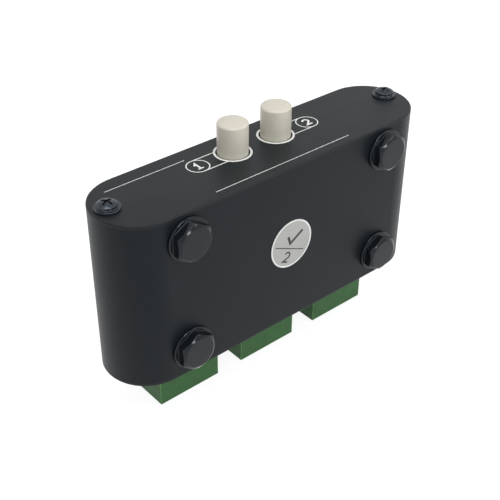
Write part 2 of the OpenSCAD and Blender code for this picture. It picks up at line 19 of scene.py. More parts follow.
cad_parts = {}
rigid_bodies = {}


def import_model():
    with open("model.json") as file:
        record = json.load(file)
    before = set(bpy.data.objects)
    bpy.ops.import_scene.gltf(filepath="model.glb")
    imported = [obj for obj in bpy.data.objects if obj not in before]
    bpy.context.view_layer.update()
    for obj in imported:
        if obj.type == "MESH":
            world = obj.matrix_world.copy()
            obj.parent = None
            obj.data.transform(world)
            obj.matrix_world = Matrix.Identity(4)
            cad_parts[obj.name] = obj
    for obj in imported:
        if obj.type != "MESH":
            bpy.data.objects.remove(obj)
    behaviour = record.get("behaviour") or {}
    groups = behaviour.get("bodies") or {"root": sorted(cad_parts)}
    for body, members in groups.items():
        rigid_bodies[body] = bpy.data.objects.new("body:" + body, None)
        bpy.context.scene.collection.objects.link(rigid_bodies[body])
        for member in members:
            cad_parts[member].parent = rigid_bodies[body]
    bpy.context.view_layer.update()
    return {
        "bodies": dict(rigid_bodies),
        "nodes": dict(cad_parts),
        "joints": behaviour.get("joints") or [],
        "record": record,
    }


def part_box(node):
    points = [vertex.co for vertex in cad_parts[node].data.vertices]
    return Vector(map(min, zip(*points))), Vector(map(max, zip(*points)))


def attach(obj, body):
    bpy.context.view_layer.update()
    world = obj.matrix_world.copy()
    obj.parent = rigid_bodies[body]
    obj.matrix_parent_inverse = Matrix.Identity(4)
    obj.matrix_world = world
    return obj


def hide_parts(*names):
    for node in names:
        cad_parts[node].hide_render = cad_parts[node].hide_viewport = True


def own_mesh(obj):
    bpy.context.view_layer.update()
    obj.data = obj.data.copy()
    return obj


log = logging.getLogger("selector")

MM = 0.001
FULL_TURN = 2 * math.pi
SIDES = 6
HALF_SIDE = 180.0 / SIDES  # half of a hexagon's side, in degrees round its axis
WAVE_LENGTH = FULL_TURN / 20  # the length of a Wave texture's bands at scale 1
SOFTENING_SAMPLES = 4
MIX_FACTOR, MIX_LOW, MIX_HIGH, MIX_COLOUR = 0, 6, 7, 2  # a colour Mix node's inputs, and its output
WHITE = (1.0, 1.0, 1.0, 1.0)
MOST_CUT = 0.45  # the most of a straight stretch that the rounding of one of its ends takes up

Colour = tuple[float, float, float]
Point = tuple[float, float]
Stops = Sequence[Point]
Operand = Union["Sock", float]


# ---------------------------------------------------------------- shader nodes


class Sock:
    """A shader socket that works in Python expressions, each operator adding its Math node."""

    def __init__(self, graph: "Graph", socket: Optional[bpy.types.NodeSocket]) -> None:
        """Wraps a socket of a graph.

        Args:
            graph: the node tree that the socket belongs to.
            socket: the output to wrap, or None for a node without one.
        """
        self.graph = graph
        self.socket = socket

    def _math(self, operation: str, left: Operand, right: Operand) -> "Sock":
        """The result of a Math node on two values or sockets."""
        return self.graph.node("ShaderNodeMath", {"operation": operation}, {0: left, 1: right})

    def __add__(self, other: Operand) -> "Sock":
        """self + other."""
        return self._math("ADD", self, other)

    __radd__ = __add__

    def __sub__(self, other: Operand) -> "Sock":
        """self - other."""
        return self._math("SUBTRACT", self, other)

    def __rsub__(self, other: Operand) -> "Sock":
        """other - self."""
        return self._math("SUBTRACT", other, self)

    def __mul__(self, other: Operand) -> "Sock":
        """self * other."""
        return self._math("MULTIPLY", self, other)

    __rmul__ = __mul__

    def __or__(self, other: Operand) -> "Sock":
        """The larger of two masks."""
        return self._math("MAXIMUM", self, other)


class Graph:
    """The node tree of one material or world."""

    def __init__(self, tree: bpy.types.NodeTree) -> None:
        """Empties a tree, ready to be filled.

        Args:
            tree: the node tree to build in.
        """
        self.tree = tree
        tree.nodes.clear()

    def node(
        self,
        kind: str,
        settings: Optional[dict[str, Any]] = None,
        sockets: Optional[dict[Union[str, int], Any]] = None,
        output: Union[str, int] = 0,
    ) -> Sock:
        """Adds a node.

        Args:
            kind: the node's type.
            settings: its properties, set first; "stops" are a ramp's positions and colours.
            sockets: values or wrapped sockets for its inputs.
            output: the output to return.

        Returns:
            The wrapped output.
        """
        made = self.tree.nodes.new(kind)
        for name, value in (settings or {}).items():
            if name == "stops":
                self._set_stops(made.color_ramp, value)
            else:
                setattr(made, name, value)
        for name, value in (sockets or {}).items():
            if isinstance(value, Sock):
                self.tree.links.new(value.socket, made.inputs[name])
            else:
                made.inputs[name].default_value = value
        return Sock(self, made.outputs[output] if made.outputs else None)

    @staticmethod
    def _set_stops(ramp: bpy.types.ColorRamp, stops: Stops) -> None:
        """Gives a ramp its grey stops.

        Args:
            ramp: the colour ramp.
            stops: positions and grey levels, at least two.
        """
        while len(ramp.elements) < len(stops):
            ramp.elements.new(1.0)
        for element, (place, level) in zip(ramp.elements, stops):
            element.position = place
            element.color = (level, level, level, 1.0)

    def point(self) -> Sock:
        """The shaded point in the piece's own frame, in millimetres."""
        metres = self.node("ShaderNodeTexCoord", output="Object")
        return self.node("ShaderNodeVectorMath", {"operation": "SCALE"}, {0: metres, "Scale": 1 / MM})

    def stretched(self, point: Sock, scale: Colour) -> Sock:
        """A point with each axis scaled, which draws a pattern out along the small ones."""
        return self.node("ShaderNodeVectorMath", {"operation": "MULTIPLY"}, {0: point, 1: scale})

    def noise(self, point: Sock, size: float, detail: float = 3.0, rough: float = 0.5) -> Sock:
        """Noise around 0.5.

        Args:
            point: where to read it, in millimetres.
            size: the size of its features in millimetres.
            detail: how many finer layers it has.
            rough: how strong the finer layers are.

        Returns:
            The noise value.
        """
        sockets = {"Vector": point, "Scale": 1 / size, "Detail": detail, "Roughness": rough}
        return self.node("ShaderNodeTexNoise", {}, sockets)

    def ramp(self, value: Sock, stops: Stops) -> Sock:
        """A value read off a grey ramp."""
        return self.node("ShaderNodeValToRGB", {"stops": stops}, {"Fac": value})

    def mix(self, factor: Sock, low: Any, high: Any) -> Sock:
        """A colour between two.

        Args:
            factor: 0 for the first colour and 1 for the second.
            low: the first colour, three numbers or a socket.
            high: the second colour.

        Returns:
            The mixed colour.
        """
        first, second = (c if isinstance(c, Sock) else (*c, 1.0) for c in (low, high))
        sockets = {MIX_FACTOR: factor, MIX_LOW: first, MIX_HIGH: second}
        return self.node("ShaderNodeMix", {"data_type": "RGBA"}, sockets, output=MIX_COLOUR)

    def softened(self, radius: float) -> Sock:
        """The normal with sharp edges shaded as if rounded to a radius in millimetres."""
        return self.node("ShaderNodeBevel", {"samples": SOFTENING_SAMPLES}, {"Radius": radius * MM})

    # This mask carries the painted edge highlights.
    def edges(self, soft: Sock, stops: Stops) -> Sock:
        """A mask of the edges that a softened normal rounds.

        Args:
            soft: the softened normal.
            stops: the ramp from how far it turns from the plain normal, 0 to 1, to the mask.

        Returns:
            1 on the edges, and 0 on open surfaces.
        """
        sockets = {0: soft, 1: self.node("ShaderNodeNewGeometry", output="Normal")}
        match = self.node("ShaderNodeVectorMath", {"operation": "DOT_PRODUCT"}, sockets, output="Value")
        return self.ramp(1 - match, stops)

    def bump(self, height: Sock, distance: float, normal: Sock) -> Sock:
        """A normal bumped by a height of 0 to 1 over a distance in millimetres."""
        sockets = {"Height": height, "Distance": distance * MM, "Normal": normal}
        return self.node("ShaderNodeBump", {}, sockets)

    def seen(self) -> Sock:
        """Tells what is seen from what only lights.

        Returns:
            1 for what the camera sees straight, in a reflection or through glass, and 0 for light.
        """
        camera, glossy, through = (
            self.node("ShaderNodeLightPath", output=name)
            for name in ("Is Camera Ray", "Is Glossy Ray", "Is Transmission Ray")
        )
        return camera | glossy | through


# ---------------------------------------------------------------- finishes


def tint(colour: Colour, share: float) -> Colour:
    """A colour made lighter or darker by a share of itself."""
    return tuple(min(1.0, channel * (1 + share)) for channel in colour)


@dataclass(frozen=True)
class Finish:
    """A moulded, painted or plated surface with a soft drift of colour and a fine grain.

    Sizes are in millimetres, and colours are linear. Marks in the gloss are several to one drift of colour.
    """

    name: str
    colour: Colour
    roughness: float
    metallic: float = 0.0
    specular: float = 0.5
    coat: float = 0.0
    drift: float = 0.06
    drift_size: float = 9.0
    rough_drift: float = 0.08
    grain: float = 0.006
    grain_size: float = 0.25
    drawn: Colour = (1.0, 1.0, 1.0)
    soft_edge: float = 0.1
    # A painted highlight: the colour that sharp edges turn to, and the ramp of their mask; None paints
    # none.
    painted_edge_highlight: Optional[Colour] = None
    painted_highlight_stops: Stops = ((0.01, 0.0), (0.16, 1.0))
    cloud_stops: Stops = ((0.3, 0.0), (0.7, 1.0))
    marks: float = 3.0

    def material(self) -> bpy.types.Material:
        """Makes the Blender material of this finish, once.

        Returns:
            The material.
        """
        name = f"look_{self.name}"
        found = bpy.data.materials.get(name)
        if found is not None:
            return found
        made = bpy.data.materials.new(name)
        made.use_nodes = True
        made.diffuse_color = (*self.colour, 1.0)
        graph = Graph(made.node_tree)
        point = graph.point()
        base = self.base(graph, point)
        soft = graph.softened(self.soft_edge)
        # Painted highlight: the base colour turns lighter along edges, standing in for the light that they
        # catch.
        if self.painted_edge_highlight is not None:
            base = graph.mix(graph.edges(soft, self.painted_highlight_stops), base, self.painted_edge_highlight)
        surface = graph.node(
            "ShaderNodeBsdfPrincipled",
            {},
            {
                "Base Color": base,
                "Roughness": self.gloss(graph, point),
                "Metallic": self.metallic,
                "Specular IOR Level": self.specular,
                "Coat Weight": self.coat,
                "Normal": graph.bump(self.relief(graph, point), self.grain, soft),
            },
        )
        graph.node("ShaderNodeOutputMaterial", {}, {"Surface": surface})
        return made

    def base(self, graph: Graph, point: Sock) -> Sock:
        """The base colour at a point: the colour, drifting a little lighter and darker."""
        cloud = graph.ramp(graph.noise(point, self.drift_size), self.cloud_stops)
        return graph.mix(cloud, tint(self.colour, -self.drift), tint(self.colour, self.drift))

    def gloss(self, graph: Graph, point: Sock) -> Sock:
        """The roughness, with faint cloudy marks.

        Args:
            graph: the material's nodes.
            point: where to read it, in millimetres.

        Returns:
            The roughness.
        """
        drawn, size = graph.stretched(point, self.drawn), self.drift_size / self.marks
        cloud = graph.noise(drawn, size, detail=4.0, rough=0.6)
        return (cloud - 0.5) * self.rough_drift + self.roughness

    def relief(self, graph: Graph, point: Sock) -> Sock:
        """The height of the grain at a point, from 0 to 1."""
        return graph.noise(graph.stretched(point, self.drawn), self.grain_size, detail=2.0, rough=0.6)


@dataclass(frozen=True)
class InkFinish(Finish):
    """Screen-printed ink that lets a little of what it covers through in places."""

    under: Colour = (0.02, 0.02, 0.022)
    gap_size: float = 0.12
    gap_stops: Stops = ((0.22, 0.75), (0.36, 0.0))

    def base(self, graph: Graph, point: Sock) -> Sock:
        """The ink's colour, thinner in small specks."""
        speck = graph.ramp(graph.noise(point, self.gap_size, detail=2.0), self.gap_stops)
        return graph.mix(speck, super().base(graph, point), self.under)


@dataclass(frozen=True)
class LaminateFinish(Finish):
    """Circuit board with its tracks under the solder mask, seen as lighter lines.

    The tracks run upright in some fields of the board and level in the others.
    """

    track: Colour = (0.045, 0.235, 0.095)
    track_pitch: float = 1.27
    track_stops: Stops = ((0.8, 0.0), (0.9, 1.0))
    field_size: float = 9.0
    field_stops: Stops = ((0.49, 0.0), (0.51, 1.0))

    def base(self, graph: Graph, point: Sock) -> Sock:
        """The mask's colour, lighter over copper.

        Args:
            graph: the material's nodes.
            point: where to read it, in millimetres.

        Returns:
            The colour.
        """
        field_colour = graph.node(
            "ShaderNodeTexVoronoi",
            {"distance": "CHEBYCHEV"},
            {"Vector": point, "Scale": 1 / self.field_size},
            output="Color",
        )
        level = graph.ramp(field_colour, self.field_stops)
        lines = self._lines(graph, point, "X") * (1 - level) + self._lines(graph, point, "Z") * level
        copper = graph.ramp(lines, self.track_stops)
        return graph.mix(copper, super().base(graph, point), self.track)

    def _lines(self, graph: Graph, point: Sock, across: str) -> Sock:
        """Waves from 0 to 1 at the tracks' pitch, one after another along an axis."""
        sockets = {"Vector": point, "Scale": WAVE_LENGTH / self.track_pitch}
        return graph.node("ShaderNodeTexWave", {"bands_direction": across}, sockets, output="Fac")


class Look(Enum):
    """Every finish of the switch."""

    TUBE = Finish(
        "tube_black", (0.0055, 0.0081, 0.0103), 0.4, specular=0.165, drift=0.1, drift_size=22.0,
        rough_drift=0.1, grain=0.0035, grain_size=0.16, drawn=(1.0, 1.0, 0.35),
    )
    PANEL = Finish(
        "panel_black", (0.0086, 0.0112, 0.0133), 0.44, specular=0.2, drift=0.08, drift_size=16.0,
        rough_drift=0.12, grain=0.004, grain_size=0.14, drawn=(0.4, 1.0, 1.0),
    )
    # Painted highlight: lighter colour along the screws' edges and rims.
    SCREW = Finish(
        "screw_black", (0.036, 0.044, 0.054), 0.24, metallic=0.7, drift=0.15, drift_size=1.6,
        rough_drift=0.12, grain=0.004, grain_size=0.4, soft_edge=0.16, painted_edge_highlight=(0.16, 0.18, 0.2),
    )
    # Painted highlight: faintly lighter colour along the feet's edges, standing in for their glints.
    FOOT = Finish(
        "foot_gloss", (0.006, 0.0088, 0.0118), 0.1, specular=0.26, drift=0.12,
        drift_size=5.0, rough_drift=0.06, grain=0.003, grain_size=0.9, soft_edge=0.24,
        painted_edge_highlight=(0.05, 0.058, 0.066),
    )
    NUT = Finish(
        "nut_black", (0.04, 0.042, 0.047), 0.35, metallic=0.6, drift=0.15, drift_size=2.0, grain=0.006,
    )
    LABEL = Finish(
        "label_film", (0.385, 0.382, 0.367), 0.4, metallic=0.15, drift=0.04, drift_size=5.0,
        rough_drift=0.08, grain=0.002, grain_size=0.4,
    )
    BOARD = LaminateFinish("board_green", (0.022, 0.16, 0.06), 0.35, coat=0.3, drift=0.05, grain=0.004)
    TIN = Finish(
        "tin_plate", (0.66, 0.65, 0.6), 0.3, metallic=1.0, drift=0.1, drift_size=1.2, rough_drift=0.2,
        grain=0.004, grain_size=0.2,
    )
    STEEL = Finish(
        "bright_steel", (0.62, 0.63, 0.64), 0.28, metallic=1.0, drift=0.08, drift_size=2.5,
        rough_drift=0.2, grain=0.004, grain_size=0.18, drawn=(1.0, 1.0, 0.12),
    )
    # Painted highlight: light green along the plugs' edges and corners.
    TERMINAL = Finish(
        "terminal_green", (0.043, 0.124, 0.041), 0.45, specular=0.16, drift=0.11, drift_size=3.6,
        rough_drift=0.18, grain=0.012, grain_size=0.3, soft_edge=0.4,
        painted_edge_highlight=(0.24, 0.5, 0.17),
    )
    SOCKET = Finish(
        "socket_green", (0.036, 0.125, 0.04), 0.45, specular=0.25, drift=0.08, drift_size=7.0,
        rough_drift=0.14, grain=0.007, grain_size=0.22,
    )
    LAMINATE = Finish(
        "pressed_laminate", (0.24, 0.12, 0.05), 0.55, drift=0.14, drift_size=1.6, grain=0.01,
        grain_size=0.3, drawn=(1.0, 4.0, 1.0),
    )
    SLIDER = Finish("slider_white", (0.74, 0.74, 0.7), 0.4, drift=0.03, grain=0.006)
    BRASS = Finish(
        "clip_brass", (0.72, 0.5, 0.2), 0.28, metallic=1.0, drift=0.1, drift_size=1.0, rough_drift=0.16,
        grain=0.003,
    )
    CAP = Finish(
        "cap_cream", (0.585, 0.552, 0.465), 0.4, specular=0.55, drift=0.025, drift_size=4.0,
        rough_drift=0.1, grain=0.004, grain_size=0.35,
    )
    PRINT = InkFinish("print_white", (0.8, 0.8, 0.78), 0.55, drift=0.03, drift_size=2.0, grain=0.006)
    LABEL_INK = InkFinish(
        "label_ink", (0.012, 0.012, 0.013), 0.5, drift=0.1, drift_size=1.0, grain=0.003,
        under=(0.5, 0.5, 0.5),
    )
    RIM = Finish("label_rim", (0.74, 0.74, 0.73), 0.45, drift=0.03, grain=0.003)


@dataclass
class Dresser:
    """Gives the solids of the frame their finish and their small edge rounding.

    Lengths are in millimetres and angles in degrees. Points nearer than weld_gap become one, faces within
    flat_angle of each other become one, and edges sharper than sharp_angle are rounded.
    """

    frame: dict[str, Any]
    weld_gap: float = 0.0005
    flat_angle: float = 0.2
    sharp_angle: float = 30.0
    round_steps: int = 3
    dressed: int = 0

    def dress(self, node: str, look: Look, edge: float = 0.0) -> None:
        """Puts a finish on a solid, and rounds its edges.

        Args:
            node: the solid's name.
            look: its finish.
            edge: the radius of its edges, or 0 for none.
        """
        obj = self.frame["nodes"][node]
        obj.data.materials.clear()
        obj.data.materials.append(look.value.material())
        if edge > 0:
            weld = obj.modifiers.new("weld", "WELD")
            weld.merge_threshold = self.weld_gap * MM
            flat = obj.modifiers.new("flat", "DECIMATE")
            flat.decimate_type = "DISSOLVE"
            flat.angle_limit = math.radians(self.flat_angle)
            bevel = obj.modifiers.new("edges", "BEVEL")
            bevel.width = edge * MM
            bevel.segments = self.round_steps
            bevel.limit_method = "ANGLE"
            bevel.angle_limit = math.radians(self.sharp_angle)
            bevel.use_clamp_overlap = True
            normals = obj.modifiers.new("normals", "WEIGHTED_NORMAL")
            normals.keep_sharp = False
        self.dressed += 1
        log.info("dressed %s in %s", node, look.value.name)


def add_piece(
    name: str, mesh: bmesh.types.BMesh, look: Look, body: str
) -> bpy.types.Object:
    """Makes a piece of its own from a finished mesh.

    Args:
        name: the piece's name.
        mesh: its shape in metres, which this frees.
        look: its finish.
        body: the body that carries it.

    Returns:
        The piece.
    """
    bmesh.ops.recalc_face_normals(mesh, faces=mesh.faces)
    data = bpy.data.meshes.new(name)
    mesh.to_mesh(data)
    mesh.free()
    data.materials.append(look.value.material())
    piece = bpy.data.objects.new(name, data)
    bpy.context.scene.collection.objects.link(piece)
    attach(piece, body)
    log.info("made %s, %d faces", name, len(data.polygons))
    return piece


def add_tube(mesh: bmesh.types.BMesh, loops: Sequence[Sequence[bmesh.types.BMVert]]) -> None:
    """Joins loops of points into a tube with flat ends.

    Args:
        mesh: what it is added to.
        loops: the loops in order, each with as many points.
    """
    count = len(loops[0])
    for near, far in zip(loops, loops[1:]):
        for k in range(count):
            m = (k + 1) % count
            mesh.faces.new((near[k], near[m], far[m], far[k]))
    mesh.faces.new(loops[0][::-1])
    mesh.faces.new(loops[-1])


# ---------------------------------------------------------------- printing


@dataclass
class Stencil:
    """Flat ink shapes on a plane: u to the right, v up and the ink standing off towards the viewer.

    Lengths are in millimetres. The place, in metres, is where the plane's origin goes.
    """

    name: str
    place: Matrix
    thick: float = 0.02
    lift: float = 0.0015
    mesh: bmesh.types.BMesh = field(default_factory=bmesh.new)

    def _next_top(self) -> float:
        """The next shape's height, a little over the last one's, so that no two tops lie in one plane."""
        self.thick += self.lift
        return self.thick

    def ring(self, centre: Point, outer: float, line: float, steps: int = 120) -> None:
        """A ring of ink.

        Args:
            centre: its middle in millimetres.
            outer: its outer diameter.
            line: the width of its line.
            steps: how many facets it has.
        """
        inner, top = outer / 2 - line, self._next_top()
        section = [(inner, 0.0), (outer / 2, 0.0), (outer / 2, top), (inner, top)]
        loops = []
        for i in range(steps):
            angle = FULL_TURN * i / steps
            loops.append([
                self.mesh.verts.new((centre[0] + r * math.cos(angle), centre[1] + r * math.sin(angle), w))
                for r, w in section
            ])
        for near, far in zip(loops, loops[1:] + loops[:1]):
            for k in range(len(section)):
                m = (k + 1) % len(section)
                self.mesh.faces.new((near[k], far[k], far[m], near[m]))

    def stroke(self, path: Sequence[Point], width: float) -> None:
        """A stroke of ink along a path, with mitred bends and square ends.

        Args:
            path: its middle line, in millimetres.
            width: the stroke's width.
        """
        points = [Vector(p) for p in path]
        sides = []
        for i, here in enumerate(points):
            before = (here - points[i - 1]).normalized() if i else None
            after = (points[i + 1] - here).normalized() if i + 1 < len(points) else None
            along = ((before or after) + (after or before)).normalized()
            across = Vector((-along.y, along.x))
            bend = across.dot(Vector((-(after or before).y, (after or before).x)))
            sides.append((here + across * width / 2 / bend, here - across * width / 2 / bend))
        top, loops = self._next_top(), []
        for left, right in sides:
            section = ((left, 0.0), (right, 0.0), (right, top), (left, top))
            loops.append([self.mesh.verts.new((p.x, p.y, w)) for p, w in section])
        add_tube(self.mesh, loops)

    def finish(self, look: Look, body: str) -> None:
        """Makes the piece.

        Args:
            look: its ink.
            body: the body that carries it.
        """
        self.mesh.transform(self.place @ Matrix.Scale(MM, 4))
        add_piece(self.name, self.mesh, look, body)


def arc(centre: Point, radius: float, start: float, end: float, steps: int = 14) -> list[Point]:
    """Points along an arc.

    Args:
        centre: the arc's middle.
        radius: its radius.
        start: the angle in degrees where it starts.
        end: the angle where it ends.
        steps: how many straight steps it has.

    Returns:
        The points, in order.
    """
    angles = [math.radians(start + (end - start) * i / steps) for i in range(steps + 1)]
    return [(centre[0] + radius * math.cos(a), centre[1] + radius * math.sin(a)) for a in angles]


@dataclass(frozen=True)
class Numeral:
    """A plain 1, 2 or 3 of strokes.

    The height and the line's width are in millimetres. The half width is a share of the height, the flag of
    a 1 is a share of the half width, and its foot is a share of the line's width. Angles are in degrees.
    """

    height: float
    line: float
    half_width: float = 0.27
    flag: float = 0.8
    foot: float = 0.8
    two_start: float = 165.0
    two_end: float = -30.0
    three_start: float = 150.0

    def draw(self, stencil: Stencil, digit: int, centre: Point) -> None:
        """Draws a digit.

        Args:
            stencil: what it is drawn on.
            digit: which number.
            centre: its middle in millimetres.
        """
        u, v = centre
        half, wide = (self.height - self.line) / 2, self.height * self.half_width
        top, low = v + half, v - half
        if digit == 1:
            stencil.stroke([(u - wide * self.flag, top - wide), (u, top), (u, low)], self.line)
            stencil.stroke([(u - wide, low), (u + wide, low)], self.line * self.foot)
            return
        if digit == 2:
            bowl = arc((u, top - wide), wide, self.two_start, self.two_end)
            stencil.stroke([*bowl, (u - wide, low), (u + wide, low)], self.line)
            return
        bowl_radius = half / 2
        stencil.stroke(arc((u, v + bowl_radius), bowl_radius, self.three_start, -90), self.line)
        stencil.stroke(arc((u, v - bowl_radius), bowl_radius, 90, -self.three_start), self.line)


# ---------------------------------------------------------------- sub-assemblies


@dataclass
class CaseShell:
    """The oval tube, its two end panels, their screws, the feet's nuts and the label."""

    dresser: Dresser
    edge: float = 0.12
    screw_edge: float = 0.1
    nut_edge: float = 0.15

    def build(self) -> None:
        """Dresses the shell."""
        dress = self.dresser.dress
        dress("case_tube", Look.TUBE, edge=self.edge)
        dress("top_panel", Look.PANEL, edge=self.edge)
        dress("bottom_panel", Look.PANEL, edge=self.edge)
        dress("top_panel_screws", Look.SCREW, edge=self.screw_edge)
        dress("bottom_panel_screws", Look.SCREW, edge=self.screw_edge)
        dress("foot_nuts", Look.NUT, edge=self.nut_edge)
        dress("inspection_label", Look.LABEL)


@dataclass
class HexFeet:
    """The four glossy feet: a flanged hex head with a turned bevel, a round face and every edge rounded.

    Lengths are in millimetres. A foot's own axis points out of the case, from its seat on the front face.
    One flat polygon closes the shank's tip inside the radius tip_cap, and another the face inside a ring of
    faces as wide as face_ring.
    """

    flange: float = 12.2
    flange_thick: float = 0.8
    across_flats: float = 10.0
    face: float = 8.9
    bevel: float = 0.85
    shank: float = 6.0
    corner: float = 1.1
    head_edge: float = 0.35
    face_edge: float = 0.25
    flange_edge: float = 0.32
    small_edge: float = 0.08
    tip_cap: float = 0.5
    face_ring: float = 1.5
    arc_steps: int = 5
    corner_steps: int = 3
    turn_step: float = 3.0

    def build(self) -> None:
        """Makes the feet in place of their plain solids."""
        low, high = (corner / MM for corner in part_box("foot_bolts"))
        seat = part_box("case_tube")[0].y / MM
        reach, inset = seat - low.y, self.flange / 2
        mesh = bmesh.new()
        for x in (low.x + inset, high.x - inset):
            for z in (low.z + inset, high.z - inset):
                self._add_foot(mesh, Matrix.Translation((x, seat, z)), reach, high.y - seat)
        mesh.transform(Matrix.Scale(MM, 4))
        piece = add_piece("hex_feet", mesh, Look.FOOT, "case")
        piece.data.shade_smooth()
        piece.modifiers.new("normals", "WEIGHTED_NORMAL").keep_sharp = False
        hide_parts("foot_bolts")

    def _add_foot(self, mesh: bmesh.types.BMesh, place: Matrix, reach: float, depth: float) -> None:
        """Adds one foot.

        Args:
            mesh: what it is added to.
            place: the middle of its seat.
            reach: how far its face stands off the seat.
            depth: how far its shank goes in.
        """
        outward = place @ Matrix.Rotation(math.pi / 2, 4, "X")
        loops = []
        for angle in self._angles():
            turn = Matrix.Rotation(math.radians(angle), 4, "Z")
            section = self._section(self._hex_radius(angle), reach, depth)
            loops.append([mesh.verts.new(outward @ turn @ Vector((r, 0, h))) for r, h in section])
        for near, far in zip(loops, loops[1:] + loops[:1]):
            for k in range(len(near) - 1):
                mesh.faces.new((near[k], far[k], far[k + 1], near[k + 1]))
        mesh.faces.new([loop[0] for loop in loops])
        mesh.faces.new([loop[-1] for loop in loops])

    def _angles(self) -> list[float]:
        """Spaces the sections round a foot, close together at the six corners.

        Returns:
            Their angles in degrees.
        """
        tangent, side = self._tangent_angle(), 2 * HALF_SIDE
        rest = HALF_SIDE - tangent
        close = [tangent * i / self.corner_steps for i in range(self.corner_steps + 1)]
        wide = int(rest / self.turn_step)
        half = close + [tangent + rest * i / wide for i in range(1, wide)]
        sector = [HALF_SIDE - a for a in reversed(half)] + [HALF_SIDE + a for a in half[1:]] + [side]
        return [side * i + a for i in range(SIDES) for a in sector]

    def _tangent_angle(self) -> float:
        """Finds where a corner's rounding runs out into the flat.

        Returns:
            The angle from the corner, in degrees round the axis.
        """
        lean = math.radians(HALF_SIDE)
        centre = (self.across_flats / 2 - self.corner) / math.cos(lean)
        across = self.corner * math.sin(lean)
        return math.degrees(math.atan2(across, centre + self.corner * math.cos(lean)))

    def _hex_radius(self, angle: float) -> float:
        """How far the rounded hexagon is from the axis.

        Args:
            angle: the direction in degrees, 0 through the middle of a flat.

        Returns:
            The distance.
        """
        off = abs(angle % (2 * HALF_SIDE) - HALF_SIDE)
        if off >= self._tangent_angle():
            return self.across_flats / 2 / math.cos(math.radians(HALF_SIDE - off))
        centre = (self.across_flats / 2 - self.corner) / math.cos(math.radians(HALF_SIDE))
        side = centre * math.sin(math.radians(off))
        return centre * math.cos(math.radians(off)) + math.sqrt(self.corner**2 - side**2)

    def _section(self, radius: float, reach: float, depth: float) -> list[Point]:
        """The section of a foot where its head has a given radius.

        Args:
            radius: the head's radius there.
            reach: the height of its face.
            depth: how far its shank goes in.

        Returns:
            The points, as distance from the axis and height, from the shank's tip to the face.
        """
        corner_radius = self.across_flats / 2 / math.cos(math.radians(HALF_SIDE))
        slope = self.bevel / (corner_radius - self.face / 2)
        shoulder = reach - (radius - self.face / 2) * slope
        path = [
            (self.shank / 2, -depth, self.small_edge),
            (self.shank / 2, 0.0, self.small_edge),
            (self.flange / 2, 0.0, self.small_edge),
            (self.flange / 2, self.flange_thick, self.flange_edge),
            (radius, self.flange_thick, self.small_edge),
            (radius, shoulder, self.head_edge),
            (self.face / 2, reach, self.face_edge),
        ]
        ends = (self.tip_cap, -depth), (self.face / 2 - self.face_ring, reach)
        return rounded([ends[0], *path, ends[1]], self.arc_steps)


def rounded(path: Sequence[tuple[float, ...]], steps: int) -> list[Point]:
    """Rounds the corners of an open path, by less than asked where a straight stretch is short.

    Args:
        path: its points, with a third number, the corner's radius, for all but the first and the last.
        steps: how many straight steps each rounding has.

    Returns:
        The points of the rounded path, always as many for as long a path.
    """
    points = [path[0][:2]]
    for before, corner, after in zip(path, path[1:], path[2:]):
        here = Vector(corner[:2])
        back, ahead = (Vector(p[:2]) - here for p in (before, after))
        half = back.angle(ahead) / 2
        cut = min(corner[2] / math.tan(half), back.length * MOST_CUT, ahead.length * MOST_CUT)
        start, end = here + back.normalized() * cut, here + ahead.normalized() * cut
        centre = here + (back.normalized() + ahead.normalized()).normalized() * cut / math.cos(half)
        first, last = start - centre, end - centre
        for i in range(steps + 1):
            spoke = first.slerp(last, i / steps).normalized() * first.length
            points.append(tuple(centre + spoke))
    points.append(path[-1][:2])
    return points


@dataclass
class PanelPrint:
    """White print on the top panel: a ring round each button, a circled number joined to it, and rules.

    Lengths are in millimetres. A rule is given by its two ends along x, and its place along y.
    """

    ring_outer: float = 10.45
    ring_line: float = 0.6
    mark_outer: float = 6.4
    mark_line: float = 0.3
    mark_steps: int = 96
    mark_gap: float = 11.57
    join_rise: float = 3.05
    number_height: float = 3.3
    number_line: float = 0.55
    rule_line: float = 0.2
    back_rule: tuple[float, float, float] = (-44.5, -20.0, 7.6)
    front_rule: tuple[float, float, float] = (-23.5, 22.5, -9.9)

    def build(self) -> None:
        """Prints both marks and both rules."""
        number = Numeral(self.number_height, self.number_line)
        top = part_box("top_panel")[1].z
        place = Matrix.Translation((0, 0, top))
        for digit, letter, side in ((1, "a", -1), (2, "b", 1)):
            low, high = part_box(f"button_cap_{letter}")
            button = ((low.x + high.x) / 2 / MM, (low.y + high.y) / 2 / MM)
            mark = (button[0] + side * self.mark_gap, button[1])
            stencil = Stencil(f"button_mark_{letter}", place)
            stencil.ring(button, self.ring_outer, self.ring_line)
            stencil.ring(mark, self.mark_outer, self.mark_line, self.mark_steps)
            self._join(stencil, button, mark, side)
            number.draw(stencil, digit, mark)
            stencil.finish(Look.PRINT, "case")
        rules = Stencil("panel_rules", place)
        for start, end, v in (self.back_rule, self.front_rule):
            rules.stroke([(start, v), (end, v)], self.rule_line)
        rules.finish(Look.PRINT, "case")

    def _join(self, stencil: Stencil, button: Point, mark: Point, side: int) -> None:
        """Draws the two lines that join a mark to its button's ring, each ending in the rings' lines.

        Args:
            stencil: what they are drawn on.
            button: the middle of the button.
            mark: the middle of the mark.
            side: 1 where the mark is to the right of the button, and -1 where it is to the left.
        """
        rise = self.join_rise
        ring_radius = (self.ring_outer - self.ring_line) / 2
        mark_radius = (self.mark_outer - self.mark_line) / 2
        for way in (-1, 1):
            v = button[1] + way * rise
            near = button[0] + side * math.sqrt(ring_radius**2 - rise**2)
            far = mark[0] - side * math.sqrt(max(mark_radius**2 - rise**2, 0.0))
            stencil.stroke([(near, v), (far, v)], self.mark_line)


